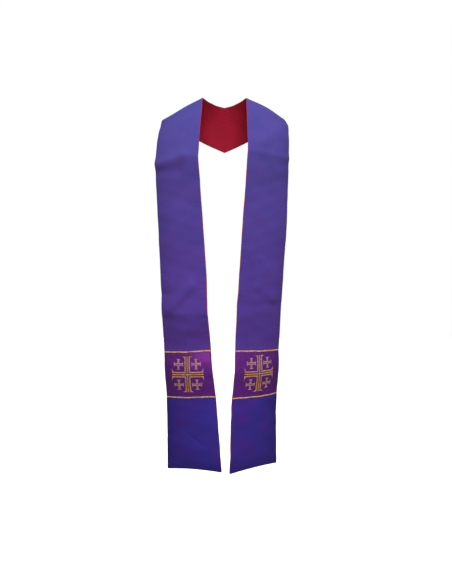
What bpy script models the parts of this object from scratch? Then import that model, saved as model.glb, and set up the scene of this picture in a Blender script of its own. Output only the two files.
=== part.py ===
"""A clerical stole in the form it takes when worn, hollow, with nobody in it.

Metres, +Z up. The origin is the inner edge of the centre-back seam, where the nape of the
wearer's neck carries the stole. The wearer faces -Y, and +X is the wearer's left.

Each half is a band of cloth that starts at the centre-back seam, goes over the shoulder and
hangs down the front. It is described by sections: straight lines across the cloth, from its
inner edge (at the neck) to its outer edge. A smooth surface runs through them, and every piece
is laid on that surface at its own height: lining, purple shell, braid and embroidery.
"""

import math
from collections import namedtuple

import bmesh
import bpy
import numpy as np

# Cloth, in metres. Lift is height above the body side of the cloth.
LINING_WALL = 0.0010
SHELL_WALL = 0.0012
BRAID_WALL = 0.0010
EMBROIDERY_WALL = 0.0009
GAP = 0.0003
SHELL_LIFT = LINING_WALL + GAP
TRIM_LIFT = SHELL_LIFT + SHELL_WALL + GAP

CLOTH_WIDTH = 0.145
LINING_PROUD = 0.0012
LINING_SHY = 0.0010
BRAID_WIDTH = 0.0042
CELLS_ACROSS = 6
# The shortest cell along the cloth, and the distance within which two points are one.
SHORTEST_CELL = 0.003
MERGE_DISTANCE = 0.00001

# A section: its inner and outer end (X is the distance from the centre plane), how far its
# middle stands proud of the straight line, the grid cells from it to the next section, and how
# far its middle is drawn up along the cloth.
Section = namedtuple("Section", "name inner outer bow cells rise", defaults=(0.0,))

BACK = (
    Section("centre_back", (0.000, 0.000, 0.000), (0.000, 0.044, -0.146), 0.004, 3),
    Section("nape_side", (0.024, -0.005, 0.006), (0.056, 0.040, -0.121), 0.005, 3),
    Section("shoulder_blade", (0.044, -0.018, 0.014), (0.108, 0.024, -0.095), 0.006, 3),
    Section("behind_shoulder", (0.058, -0.032, 0.021), (0.149, -0.002, -0.070), 0.005, 3),
    Section("below_ridge", (0.066, -0.044, 0.026), (0.180, -0.035, -0.054), 0.003, 3),
)
RIGHT_FRONT = (
    Section("ridge", (0.071, -0.055, 0.028), (0.197, -0.062, -0.044), 0.0034, 5),
    Section("collarbone", (0.074, -0.092, -0.010), (0.209, -0.088, -0.073), 0.003, 5),
    Section("upper_chest", (0.078, -0.130, -0.062), (0.215, -0.112, -0.107), 0.004, 5),
    Section("mid_chest", (0.081, -0.165, -0.118), (0.219, -0.133, -0.150), 0.005, 5),
    Section("bust", (0.083, -0.188, -0.168), (0.222, -0.152, -0.192), 0.006, 7),
    Section("below_bust", (0.078, -0.186, -0.257), (0.219, -0.151, -0.256), 0.006, 5),
    Section("waist", (0.068, -0.189, -0.407), (0.211, -0.159, -0.407), 0.008, 5),
    Section("elbow", (0.060, -0.194, -0.528), (0.206, -0.164, -0.529), 0.009, 9),
    Section("hip", (0.056, -0.201, -0.650), (0.200, -0.172, -0.652), 0.010, 9),
    Section("band_top", (0.045, -0.182, -0.787), (0.194, -0.162, -0.7945), 0.009, 5),
    Section("band_bottom", (0.029, -0.180, -0.937), (0.1872, -0.140, -0.9427), 0.009, 7),
    Section("hem", (0.009, -0.178, -1.185), (0.1861, -0.115, -1.1843), 0.008, 0, 0.0068),
)
LEFT_FRONT = (
    Section("ridge", (0.071, -0.055, 0.028), (0.188, -0.062, -0.043), 0.0055, 5),
    Section("collarbone", (0.072, -0.090, -0.008), (0.2035, -0.091, -0.066), 0.003, 5),
    Section("upper_chest", (0.073, -0.128, -0.056), (0.207, -0.114, -0.098), 0.004, 5),
    Section("mid_chest", (0.074, -0.158, -0.104), (0.208, -0.126, -0.135), 0.005, 4),
    Section("bust", (0.074, -0.178, -0.145), (0.207, -0.130, -0.169), 0.006, 8),
    Section("below_bust", (0.068, -0.186, -0.257), (0.204, -0.128, -0.256), 0.005, 5),
    Section("waist", (0.057, -0.190, -0.406), (0.199, -0.144, -0.407), 0.005, 5),
    Section("elbow", (0.050, -0.193, -0.528), (0.190, -0.148, -0.530), 0.005, 9),
    Section("hip", (0.042, -0.196, -0.640), (0.183, -0.144, -0.641), 0.006, 9),
    Section("band_top", (0.034, -0.190, -0.788), (0.176, -0.136, -0.790), 0.007, 5, -0.0012),
    Section("band_bottom", (0.026, -0.188, -0.941), (0.169, -0.122, -0.932), 0.007, 7, -0.0028),
    Section("hem", (0.017, -0.185, -1.190), (0.170, -0.100, -1.168), 0.006, 0, 0.0050),
)

# A fold: a ridge (height above 0) or a trough (below 0) along a straight line on the cloth.
# Its ends are given by their length along the cloth from the centre-back seam, and by how far
# across they lie, 0 at the inner edge and 1 at the outer edge.
Fold = namedtuple("Fold", "name from_along from_across to_along to_across height half_width")

RIGHT_FOLDS = (
    Fold("chest_ridge_outer", 0.386, 1.05, 0.376, 0.35, 0.0045, 0.018),
    Fold("chest_ridge_inner", 0.376, 0.35, 0.387, -0.05, 0.0018, 0.016),
    Fold("chest_undercut", 0.421, 1.05, 0.411, 0.50, -0.0045, 0.022),
    Fold("ripple_below_chest", 0.560, 1.00, 0.536, 0.40, 0.0015, 0.020),
    Fold("waist_diagonal_ridge", 0.777, 0.38, 0.850, 0.85, 0.0040, 0.015),
    Fold("waist_diagonal_trough", 0.790, 0.25, 0.842, 0.62, -0.0030, 0.014),
    Fold("waist_outer_dent", 0.808, 1.05, 0.814, 0.84, -0.0035, 0.013),
    Fold("waist_ridge", 0.868, 0.95, 0.865, -0.05, 0.0050, 0.032),
    Fold("waist_trough", 0.902, 1.00, 0.898, -0.05, -0.0020, 0.018),
    Fold("hollow_above_band", 0.974, 1.00, 0.971, 0.00, -0.0050, 0.042),
    Fold("band_belly", 1.060, 1.00, 1.060, 0.00, 0.0060, 0.050),
)
LEFT_FOLDS = (
    Fold("shoulder_ridge_outer", 0.218, 1.03, 0.324, 0.36, 0.0045, 0.022),
    Fold("shoulder_ridge_inner", 0.324, 0.36, 0.342, -0.05, 0.0030, 0.018),
    Fold("chest_ridge", 0.358, -0.05, 0.358, 1.05, 0.0018, 0.013),
    Fold("chest_trough", 0.386, 0.35, 0.386, 1.05, -0.0015, 0.017),
    Fold("waist_diagonal_ridge", 0.785, 0.42, 0.825, 0.80, 0.0025, 0.014),
    Fold("waist_dent", 0.845, 0.82, 0.843, 1.05, -0.0025, 0.015),
    Fold("waist_trough", 0.841, -0.05, 0.844, 0.82, -0.0018, 0.014),
    Fold("hollow_above_band", 0.966, 0.00, 0.966, 1.00, -0.0020, 0.042),
    Fold("band_belly", 1.054, 0.00, 1.054, 1.00, 0.0055, 0.050),
)

# The Jerusalem cross on each band: a large cross with four small ones in its corners. Each pair
# holds the size for the arms that lie across the band, then the one for the arms along it.
Cross = namedtuple("Cross", "size arm_widths end_widths end_depth flare_steps")
LARGE_CROSS = Cross((0.0965, 0.1170), (0.0172, 0.0168), (0.056, 0.042), 0.0074, 4)
CROSSLET = Cross((0.0285, 0.0332), (0.0066, 0.0052), (0.0150, 0.0125), 0.0026, 2)
CROSSLET_OFFSET = (0.0272, 0.0335)
CROSS_TIP = 0.0008
# The large cross is three strands: a slot lies on each side of the middle one.
STRAND_SLOT_START = (0.0021, 0.0019)
STRAND_SLOT_WIDTH = (0.0022, 0.0023)
STRAND_SLOT_MARGIN = 0.0040
# How a cross lies on its band. Its centre: how far above the middle of the band, and its share of
# the width. Then the inward lean of its upright arms, the rise of its level arms towards the
# outer edge, and how much the outer ones are taken in, by the square of the distance out.
CrossPlace = namedtuple("CrossPlace", "raised across lean tilt taken_in")
RIGHT_CROSS_PLACE = CrossPlace(0.0007, 0.5200, 0.026, 0.000, 0.0)
LEFT_CROSS_PLACE = CrossPlace(0.0014, 0.5450, 0.007, 0.027, 1.5)
EMBROIDERY_CELL = 0.014

COLOURS = {
    "purple_cloth": ((0.060, 0.025, 0.220, 1.0), 0.60, 0.0),
    "magenta_satin": ((0.110, 0.012, 0.160, 1.0), 0.35, 0.0),
    "gold_braid": ((0.560, 0.320, 0.095, 1.0), 0.40, 0.3),
    "gold_embroidery": ((0.450, 0.240, 0.070, 1.0), 0.45, 0.2),
    "red_lining": ((0.480, 0.020, 0.040, 1.0), 0.55, 0.0),
}


def clear_scene():
    for thing in list(bpy.data.objects):
        bpy.data.objects.remove(thing, do_unlink=True)


def make_collection(name, parent):
    collection = bpy.data.collections.new(name)
    parent.children.link(collection)
    return collection


def make_material(name):
    colour, roughness, metallic = COLOURS[name]
    material = bpy.data.materials.new(name)
    material.use_nodes = True
    shader = material.node_tree.nodes["Principled BSDF"]
    shader.inputs["Base Color"].default_value = colour
    shader.inputs["Roughness"].default_value = roughness
    shader.inputs["Metallic"].default_value = metallic
    material.diffuse_color = colour
    return material


def smooth_curve(knots, values, at, start_slope=0.0):
    """Cubic curve through the values: each slope is the mean of the slopes beside the knot,
    weighted by the nearer one."""
    steps = np.diff(knots)
    rises = np.diff(values) / steps
    slopes = np.empty(len(knots))
    slopes[1:-1] = (rises[:-1] * steps[1:] + rises[1:] * steps[:-1]) / (steps[:-1] + steps[1:])
    slopes[0] = start_slope
    slopes[-1] = rises[-1]
    left = np.clip(np.searchsorted(knots, at, side="right") - 1, 0, len(steps) - 1)
    step = steps[left]
    t = (at - knots[left]) / step
    return (
        values[left] * (2 * t**3 - 3 * t**2 + 1)
        + slopes[left] * step * (t**3 - 2 * t**2 + t)
        + values[left + 1] * (3 * t**2 - 2 * t**3)
        + slopes[left + 1] * step * (t**3 - t**2)
    )


def unit(vectors):
    return vectors / np.linalg.norm(vectors, axis=-1, keepdims=True)


class Half:
    """One half of the stole: a smooth surface through its sections, with folds raised on it."""

    NUDGE = 0.0005

    def __init__(self, side, front, folds):
        self.side = side
        self.mirror = -1.0 if side == "right" else 1.0
        self.sections = BACK + front
        self.folds = folds
        self.inner = np.array([s.inner for s in self.sections])
        self.outer = np.array([s.outer for s in self.sections])
        self.bows = np.array([s.bow for s in self.sections])
        self.rises = np.array([s.rise for s in self.sections])
        middles = (self.inner + self.outer) / 2
        self.seam = unit(self.outer[0] - self.inner[0])
        self.knots = np.concatenate(([0.0], np.cumsum(np.linalg.norm(np.diff(middles, axis=0), axis=1))))

    def along_of(self, name):
        """Length along the cloth from the centre-back seam to a section."""
        return float(self.knots[[s.name for s in self.sections].index(name)])

    def edge(self, ends, along):
        """Inner or outer edge. It leaves the centre back in the plane that holds X and the seam,
        so that the cloth runs flat across the seam while its edges meet there in a point."""
        leaving = (ends[1] - ends[0]) / (self.knots[1] - self.knots[0])
        slope = np.dot(leaving, self.seam) * self.seam
        slope[0] = leaving[0]
        curves = [smooth_curve(self.knots, ends[:, i], along, slope[i]) for i in range(3)]
        return np.stack(curves, axis=-1)

    def ruled(self, along, across):
        """The surface of straight lines between the two edges."""
        share = across[..., None]
        return self.edge(self.inner, along) * (1 - share) + self.edge(self.outer, along) * share

    def normals(self, surface, along, across):
        d_along = surface(along + self.NUDGE, across) - surface(along - self.NUDGE, across)
        d_across = surface(along, across + self.NUDGE) - surface(along, across - self.NUDGE)
        return unit(np.cross(d_along, d_across))

    def relief(self, along, across):
        """Bow of the cloth across its width, and its folds: a fold falls off with the distance
        from its line as a bell curve."""
        bow = smooth_curve(self.knots, self.bows, along)
        height = bow * 4 * across * (1 - across)
        for fold in self.folds:
            line_a = fold.to_along - fold.from_along
            line_c = (fold.to_across - fold.from_across) * CLOTH_WIDTH
            a = along - fold.from_along
            c = (across - fold.from_across) * CLOTH_WIDTH
            t = np.clip((a * line_a + c * line_c) / (line_a**2 + line_c**2), 0, 1)
            distance = np.hypot(a - t * line_a, c - t * line_c)
            height = height + fold.height * np.exp(-((distance / fold.half_width) ** 2))
        return height

    def draped(self, along, across):
        raised = self.relief(along, across)[..., None]
        return self.ruled(along, across) + raised * self.normals(self.ruled, along, across)

    def points(self, along, across, lift):
        """Points of the cloth, at a height above its body side. The cloth is drawn up along
        itself by a parabola across, as high as the rise there."""
        along, across = np.broadcast_arrays(np.asarray(along, float), np.asarray(across, float))
        rise = smooth_curve(self.knots, self.rises, along)
        along = along - rise * 4 * across * (1 - across)
        place = self.draped(along, across) + lift * self.normals(self.draped, along, across)
        place[..., 0] = (place[..., 0] + GAP / 2) * self.mirror
        return place

    def stations(self, start, end):
        """Grid lines across the cloth between two lengths. All layers share them, so that their
        facets stay parallel."""
        every = []
        for i, section in enumerate(self.sections[:-1]):
            every += list(np.linspace(self.knots[i], self.knots[i + 1], section.cells + 1)[:-1])
        inside = [a for a in every if start + SHORTEST_CELL < a < end - SHORTEST_CELL]
        return np.array([start] + inside + [end])


def new_object(name, mesh, material, collection):
    mesh.materials.append(material)
    thing = bpy.data.objects.new(name, mesh)
    collection.objects.link(thing)
    return thing


def add_wall(thing, thickness):
    """The open surface is the middle of the wall."""
    solidify = thing.modifiers.new("wall", "SOLIDIFY")
    solidify.thickness = thickness
    solidify.offset = 0.0
    solidify.use_rim = True


def lay_on_cloth(bm, half, places, lift):
    """Moves a flat mesh onto the cloth; places holds (along, across) for each of its points."""
    place = half.points(places[:, 0], places[:, 1], lift)
    for vertex, point in zip(bm.verts, place):
        vertex.co = point
    if half.mirror < 0:
        bmesh.ops.reverse_faces(bm, faces=bm.faces)


def cloth_strip(name, half, start, end, first, last, lift, wall, material, collection):
    """A rectangle of cloth between two lengths and two shares of the width, laid at a lift."""
    lengths = half.stations(start, end)
    shares = np.linspace(0.0, 1.0, CELLS_ACROSS + 1)
    shares[0], shares[-1] = first, last
    bm = bmesh.new()
    bmesh.ops.create_grid(bm, x_segments=len(lengths) - 1, y_segments=CELLS_ACROSS, size=0.5)
    grid = np.array([vertex.co[:2] for vertex in bm.verts]) + 0.5
    columns = np.rint(grid[:, 0] * (len(lengths) - 1)).astype(int)
    rows = np.rint(grid[:, 1] * CELLS_ACROSS).astype(int)
    lay_on_cloth(bm, half, np.stack([lengths[columns], shares[rows]], axis=-1), lift)
    mesh = bpy.data.meshes.new(name)
    bm.to_mesh(mesh)
    bm.free()
    mesh.shade_smooth()
    add_wall(new_object(name, mesh, material, collection), wall)


def arm_outline(half_arm, half_core, length, half_end, end_depth, steps):
    """One arm of a cross, pointing up from the core: straight sides, then a quarter ellipse out
    to each tip. Returned from its right foot round to its left foot."""
    angles = np.linspace(0.0, math.pi / 2, steps + 1)
    side = length - end_depth
    flare_x = half_arm + (half_end - half_arm) * (1 - np.cos(angles))
    flare_y = side + (end_depth - CROSS_TIP) * np.sin(angles)
    right = [(half_arm, half_core)] + list(zip(flare_x, flare_y)) + [(half_end, length)]
    return right + [(-x, y) for x, y in reversed(right)]


def cross_outline(cross):
    """Closed outline of a cross with flared ends, about its centre."""
    half_size = [s / 2 for s in cross.size]
    half_arm = [w / 2 for w in cross.arm_widths]
    half_end = [w / 2 for w in cross.end_widths]
    up = arm_outline(half_arm[1], half_arm[0], half_size[1], half_end[1],
                     cross.end_depth, cross.flare_steps)
    out = arm_outline(half_arm[0], half_arm[1], half_size[0], half_end[0],
                      cross.end_depth, cross.flare_steps)
    outline = []
    for arm, turn in ((up, 0), (out, 1), (up, 2), (out, 3)):
        for x, y in arm[:-1]:
            for _ in range(turn):
                x, y = -y, x
            outline.append((x, y))
    return outline


def strand_slots(cross):
    """Four L-shaped slots of a large cross, one in each quarter, between its middle strands and
    its outer ones."""
    y_near, x_near = STRAND_SLOT_START
    y_far = y_near + STRAND_SLOT_WIDTH[0]
    x_far = x_near + STRAND_SLOT_WIDTH[1]
    x_end = cross.size[0] / 2 - STRAND_SLOT_MARGIN
    y_end = cross.size[1] / 2 - STRAND_SLOT_MARGIN
    slot = [(x_near, y_near), (x_end, y_near), (x_end, y_far),
            (x_far, y_far), (x_far, y_end), (x_near, y_end)]
    return [[(sx * x, sy * y) for x, y in slot] for sx in (1, -1) for sy in (1, -1)]


def places_on_band(half, lies, x, y):
    """Places (along, across) on the cloth of points of a cross about its centre. X runs outwards
    across the band and Y up along it."""
    middle = (half.along_of("band_top") + half.along_of("band_bottom")) / 2
    outwards = x - lies.taken_in * np.maximum(x, 0.0) ** 2 - lies.lean * y
    along = middle - lies.raised - y - lies.tilt * x
    return np.stack([along, lies.across + outwards / CLOTH_WIDTH], axis=-1)


def embroidered_piece(name, half, lies, offset, loops, material, collection):
    """An outline, and its slots if it has any, filled as a 2D curve, cut into cells so that it
    can bend, then laid on the band at its offset from the centre of the cross."""
    curve = bpy.data.curves.new(name + "_outline", "CURVE")
    curve.dimensions = "2D"
    curve.fill_mode = "BOTH"
    for loop in loops:
        spline = curve.splines.new("POLY")
        spline.points.add(len(loop) - 1)
        for point, (x, y) in zip(spline.points, loop):
            point.co = (x, y, 0.0, 1.0)
        spline.use_cyclic_u = True
    guide = bpy.data.objects.new(name + "_outline", curve)
    collection.objects.link(guide)
    flat = bpy.data.meshes.new_from_object(guide.evaluated_get(bpy.context.evaluated_depsgraph_get()))
    bpy.data.objects.remove(guide, do_unlink=True)

    bm = bmesh.new()
    bm.from_mesh(flat)
    bpy.data.meshes.remove(flat)
    bmesh.ops.remove_doubles(bm, verts=bm.verts, dist=MERGE_DISTANCE)
    reach = max(max(abs(x), abs(y)) for x, y in loops[0])
    cuts = int(reach // EMBROIDERY_CELL)
    for axis in (0, 1):
        normal = (1.0, 0.0, 0.0) if axis == 0 else (0.0, 1.0, 0.0)
        for k in range(-cuts, cuts + 1):
            plane = [0.0, 0.0, 0.0]
            plane[axis] = k * EMBROIDERY_CELL
            everything = bm.verts[:] + bm.edges[:] + bm.faces[:]
            bmesh.ops.bisect_plane(bm, geom=everything, plane_co=plane, plane_no=normal,
                                   dist=MERGE_DISTANCE)
    bmesh.ops.triangulate(bm, faces=bm.faces)
    bm.normal_update()
    upside_down = [face for face in bm.faces if face.normal.z < 0]
    bmesh.ops.reverse_faces(bm, faces=upside_down)
    xy = np.array([vertex.co[:2] for vertex in bm.verts]) + np.array(offset)
    places = places_on_band(half, lies, xy[:, 0], xy[:, 1])
    lay_on_cloth(bm, half, places, TRIM_LIFT + EMBROIDERY_WALL / 2)
    mesh = bpy.data.meshes.new(name)
    bm.to_mesh(mesh)
    bm.free()
    add_wall(new_object(name, mesh, material, collection), EMBROIDERY_WALL)


def build_half(half, lies, materials, collection):
    """Panels, braid, lining and cross of one half, from the centre back to the hem."""
    side = half.side
    top_seam = half.along_of("band_top")
    bottom_seam = half.along_of("band_bottom")
    hem = half.along_of("hem")
    shell = SHELL_LIFT + SHELL_WALL / 2
    braid = TRIM_LIFT + BRAID_WALL / 2
    stretches = (
        ("upper", 0.0, top_seam - GAP / 2, "purple_cloth"),
        ("band", top_seam + GAP / 2, bottom_seam - GAP / 2, "magenta_satin"),
        ("end", bottom_seam + GAP / 2, hem, "purple_cloth"),
    )
    for piece, start, end, cloth in stretches:
        cloth_strip(f"{side}_{piece}", half, start, end, 0.0, 1.0, shell, SHELL_WALL,
                    materials[cloth], collection)
    for piece, seam in (("braid_top", top_seam), ("braid_bottom", bottom_seam)):
        cloth_strip(f"{side}_{piece}", half, seam - BRAID_WIDTH / 2, seam + BRAID_WIDTH / 2,
                    0.0, 1.0, braid, BRAID_WALL, materials["gold_braid"], collection)
    cloth_strip(f"{side}_lining", half, 0.0, hem - LINING_SHY, -LINING_PROUD / CLOTH_WIDTH,
                1 - LINING_SHY / CLOTH_WIDTH, LINING_WALL / 2, LINING_WALL,
                materials["red_lining"], collection)

    gold = materials["gold_embroidery"]
    large = [cross_outline(LARGE_CROSS)] + strand_slots(LARGE_CROSS)
    embroidered_piece(f"{side}_cross", half, lies, (0.0, 0.0), large, gold, collection)
    corners = (
        ("upper_inner", -1, 1),
        ("upper_outer", 1, 1),
        ("lower_inner", -1, -1),
        ("lower_outer", 1, -1),
    )
    for corner, outwards, up in corners:
        offset = (outwards * CROSSLET_OFFSET[0], up * CROSSLET_OFFSET[1])
        embroidered_piece(f"{side}_crosslet_{corner}", half, lies, offset,
                          [cross_outline(CROSSLET)], gold, collection)


clear_scene()
stole = make_collection("clerical_stole", bpy.context.scene.collection)
finishes = {name: make_material(name) for name in COLOURS}
right_half = Half("right", RIGHT_FRONT, RIGHT_FOLDS)
left_half = Half("left", LEFT_FRONT, LEFT_FOLDS)
build_half(right_half, RIGHT_CROSS_PLACE, finishes, stole)
build_half(left_half, LEFT_CROSS_PLACE, finishes, stole)
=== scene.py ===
import math
from collections import namedtuple

import bpy
import numpy as np
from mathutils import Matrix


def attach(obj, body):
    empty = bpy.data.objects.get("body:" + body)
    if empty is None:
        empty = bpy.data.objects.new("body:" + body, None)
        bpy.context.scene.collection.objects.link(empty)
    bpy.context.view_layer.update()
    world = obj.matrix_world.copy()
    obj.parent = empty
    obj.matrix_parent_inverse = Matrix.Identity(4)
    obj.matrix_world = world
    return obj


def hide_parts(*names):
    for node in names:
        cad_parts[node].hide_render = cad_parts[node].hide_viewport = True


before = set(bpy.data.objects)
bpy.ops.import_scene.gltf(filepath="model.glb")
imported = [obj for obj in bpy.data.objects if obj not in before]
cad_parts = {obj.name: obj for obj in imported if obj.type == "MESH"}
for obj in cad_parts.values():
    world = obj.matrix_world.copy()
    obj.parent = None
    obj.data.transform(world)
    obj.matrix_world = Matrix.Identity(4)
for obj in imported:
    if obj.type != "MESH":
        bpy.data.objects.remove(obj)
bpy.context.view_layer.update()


# Upper panels. The face of each half is cut in one piece, from the centre-back seam over the
# shoulder and down to the satin band: violet polyester in plain weave, fused to a firm
# interlining, with its long edges turned under and pressed.

# A section is a straight line across the cloth, from its inner edge, at the neck, to its outer
# edge (metres, X outwards from the centre plane). Bow is how far its middle stands proud, and
# rise how far its middle is drawn up along the cloth.
Section = namedtuple("Section", "name inner outer bow rise", defaults=(0.0,))

BACK = (
    Section("centre_back", (0.000, 0.000, 0.000), (0.000, 0.044, -0.146), 0.004),
    Section("nape_side", (0.024, -0.005, 0.006), (0.056, 0.040, -0.121), 0.005),
    Section("shoulder_blade", (0.044, -0.018, 0.014), (0.108, 0.024, -0.095), 0.006),
    Section("behind_shoulder", (0.058, -0.032, 0.021), (0.149, -0.002, -0.070), 0.005),
    Section("below_ridge", (0.066, -0.044, 0.026), (0.180, -0.035, -0.054), 0.003),
)
RIGHT_FRONT = (
    Section("ridge", (0.071, -0.055, 0.028), (0.197, -0.062, -0.044), 0.0034),
    Section("collarbone", (0.074, -0.092, -0.010), (0.209, -0.088, -0.073), 0.003),
    Section("upper_chest", (0.078, -0.130, -0.062), (0.215, -0.112, -0.107), 0.004),
    Section("mid_chest", (0.081, -0.165, -0.118), (0.219, -0.133, -0.150), 0.005),
    Section("bust", (0.083, -0.188, -0.168), (0.222, -0.152, -0.192), 0.006),
    Section("below_bust", (0.078, -0.186, -0.257), (0.219, -0.151, -0.256), 0.006),
    Section("waist", (0.068, -0.189, -0.407), (0.211, -0.159, -0.407), 0.008),
    Section("elbow", (0.060, -0.194, -0.528), (0.206, -0.164, -0.529), 0.009),
    Section("hip", (0.056, -0.201, -0.650), (0.200, -0.172, -0.652), 0.011),
    Section("band_top", (0.045, -0.182, -0.787), (0.194, -0.162, -0.7945), 0.009),
    Section("band_bottom", (0.029, -0.180, -0.937), (0.1872, -0.140, -0.9427), 0.011),
    Section("hem", (0.009, -0.178, -1.185), (0.1861, -0.115, -1.1843), 0.010, 0.0068),
)
LEFT_FRONT = (
    Section("ridge", (0.071, -0.055, 0.028), (0.188, -0.062, -0.043), 0.0055),
    Section("collarbone", (0.072, -0.090, -0.008), (0.2035, -0.091, -0.066), 0.003),
    Section("upper_chest", (0.073, -0.128, -0.056), (0.207, -0.114, -0.098), 0.004),
    Section("mid_chest", (0.074, -0.158, -0.104), (0.208, -0.126, -0.135), 0.005),
    Section("bust", (0.074, -0.178, -0.145), (0.207, -0.130, -0.169), 0.006),
    Section("below_bust", (0.068, -0.186, -0.257), (0.204, -0.128, -0.256), 0.005),
    Section("waist", (0.057, -0.190, -0.406), (0.199, -0.144, -0.407), 0.005),
    Section("elbow", (0.050, -0.193, -0.528), (0.190, -0.148, -0.530), 0.005),
    Section("hip", (0.042, -0.196, -0.640), (0.183, -0.144, -0.641), 0.006),
    Section("band_top", (0.034, -0.190, -0.788), (0.176, -0.136, -0.790), 0.007, -0.0012),
    Section("band_bottom", (0.026, -0.188, -0.941), (0.169, -0.122, -0.932), 0.007, -0.0028),
    Section("hem", (0.017, -0.185, -1.190), (0.170, -0.100, -1.168), 0.006, 0.0050),
)

# A fold is a ridge, or a trough where its height is below 0, along a straight line on the
# cloth. Its ends lie at a length along the cloth from the centre-back seam, in metres, and at a
# share of the width, 0 at the inner edge and 1 at the outer one.
Fold = namedtuple("Fold", "name from_along from_across to_along to_across height half_width")

RIGHT_FOLDS = (
    Fold("chest_ridge_outer", 0.386, 1.05, 0.376, 0.35, 0.0045, 0.018),
    Fold("chest_ridge_inner", 0.376, 0.35, 0.387, -0.05, 0.0018, 0.016),
    Fold("chest_undercut", 0.421, 1.05, 0.411, 0.50, -0.0045, 0.022),
    Fold("ripple_below_chest", 0.560, 1.00, 0.536, 0.40, 0.0015, 0.020),
    Fold("waist_diagonal_ridge", 0.785, 0.32, 0.858, 0.79, 0.0058, 0.017),
    Fold("waist_outer_dent", 0.808, 1.05, 0.814, 0.84, -0.0035, 0.013),
    Fold("waist_ridge", 0.868, 0.95, 0.865, -0.05, 0.0042, 0.032),
    Fold("waist_trough", 0.902, 1.00, 0.898, -0.05, -0.0010, 0.018),
    Fold("swell_below_waist", 0.920, 0.75, 0.920, 0.25, 0.0025, 0.030),
    Fold("hollow_above_band_outer", 0.974, 1.00, 0.974, 0.85, -0.0050, 0.042),
    Fold("hollow_above_band_inner", 0.971, 0.06, 0.971, 0.00, -0.0032, 0.042),
    Fold("band_belly", 1.060, 1.00, 1.060, 0.00, 0.0085, 0.050),
)
LEFT_FOLDS = (
    Fold("shoulder_ridge_outer", 0.218, 1.03, 0.324, 0.36, 0.0045, 0.022),
    Fold("shoulder_ridge_inner", 0.324, 0.36, 0.342, -0.05, 0.0030, 0.018),
    Fold("chest_ridge", 0.358, -0.05, 0.358, 1.05, 0.0018, 0.013),
    Fold("chest_trough", 0.386, 0.35, 0.386, 1.05, -0.0015, 0.017),
    Fold("waist_diagonal_ridge", 0.785, 0.42, 0.825, 0.80, 0.0025, 0.014),
    Fold("waist_dent", 0.845, 0.82, 0.843, 1.05, -0.0015, 0.015),
    Fold("waist_trough", 0.841, -0.05, 0.844, 0.82, -0.0018, 0.014),
    Fold("hollow_above_band", 0.966, 0.00, 0.966, 1.00, -0.0020, 0.042),
    Fold("band_belly", 1.054, 0.00, 1.054, 1.00, 0.0078, 0.050),
)

# A crease is sharper than a fold: its two sides meet in a line, softened over a crease tip, and
# flatten out over one reach towards the centre back and another towards the hem.
Crease = namedtuple(
    "Crease", "name from_along from_across to_along to_across height back_reach hem_reach")
CREASE_TIP = 0.0012

RIGHT_CREASES = (
    Crease("chest_outer", 0.3855, 1.05, 0.3765, 0.33, 0.0018, 0.020, 0.008),
    Crease("chest_inner", 0.3765, 0.33, 0.3870, -0.05, 0.0006, 0.012, 0.006),
    Crease("waist", 0.8740, 1.03, 0.8710, -0.05, 0.0024, 0.015, 0.070),
    Crease("waist_pocket_outer", 0.8850, 1.05, 0.8860, 0.90, -0.0012, 0.005, 0.008),
    Crease("waist_pocket_inner", 0.8850, -0.05, 0.8860, 0.12, -0.0012, 0.005, 0.008),
    Crease("waist_diagonal", 0.7930, 0.32, 0.8510, 0.70, 0.0016, 0.030, 0.012),
    Crease("edge_pucker", 0.9400, -0.05, 0.9420, 0.09, -0.0009, 0.004, 0.006),
    Crease("band_pucker_upper", 1.0680, -0.03, 1.0760, 0.11, 0.0007, 0.004, 0.004),
    Crease("band_pucker_lower", 1.1000, -0.03, 1.1090, 0.10, 0.0007, 0.004, 0.004),
    Crease("end_long", 1.2700, 0.56, 1.3120, 0.27, -0.0012, 0.006, 0.004),
    Crease("end_short", 1.2860, 0.46, 1.2680, 0.27, -0.0006, 0.005, 0.005),
)
LEFT_CREASES = (
    Crease("chest", 0.3580, -0.03, 0.3575, 1.03, 0.0009, 0.004, 0.010),
    Crease("waist", 0.8340, 0.60, 0.8360, 1.03, -0.0003, 0.006, 0.008),
    Crease("end", 1.2620, 0.55, 1.3000, 0.80, -0.0006, 0.006, 0.006),
)

# Slack that the pressed cloth keeps: long shallow waves, each with its height in metres, its
# turns in a metre along the cloth, its turns across the width, and its phase.
Wave = namedtuple("Wave", "height turns_along turns_across phase")
SLACK = (
    Wave(0.0008, 3.1, 0.35, 0.6),
    Wave(0.0006, 5.7, -0.80, 2.1),
    Wave(0.0004, 9.3, 0.60, 4.4),
    Wave(0.0003, 14.9, -1.70, 1.3),
    Wave(0.0002, 23.0, 1.10, 3.0),
)
LEFT_SLACK_SHIFT = 1.9  # radians, so that the two halves don't lie alike
CENTRE_SEAM_REACH = 0.040  # the centre-back seam holds the slack flat this far
SEAM_PUCKER_HEIGHT = 0.0004
SEAM_PUCKER_PITCH = 0.012
SEAM_PUCKER_REACH = 0.012
SEAM_PUCKER_WANDER = 9.0  # radians across the width, of the sine that shifts the puckers
EDGE_WAVE_HEIGHT = 0.0005
EDGE_WAVE_PITCH = 0.083
EDGE_WAVE_REACH = 0.020
EDGE_WAVE_SHIFT = 3.0  # radians by which a slow sine shifts the waves
EDGE_WAVE_WANDER = 5.1  # radians in a metre, of that sine
EDGE_WAVE_SLANT = 2.5  # radians across the width

Half = namedtuple("Half", "side mirror knots inner outer bows rises folds creases slack_shift")
BAND_TOP, BAND_BOTTOM, HEM = -3, -2, -1  # the last three of a half's knots


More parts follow.
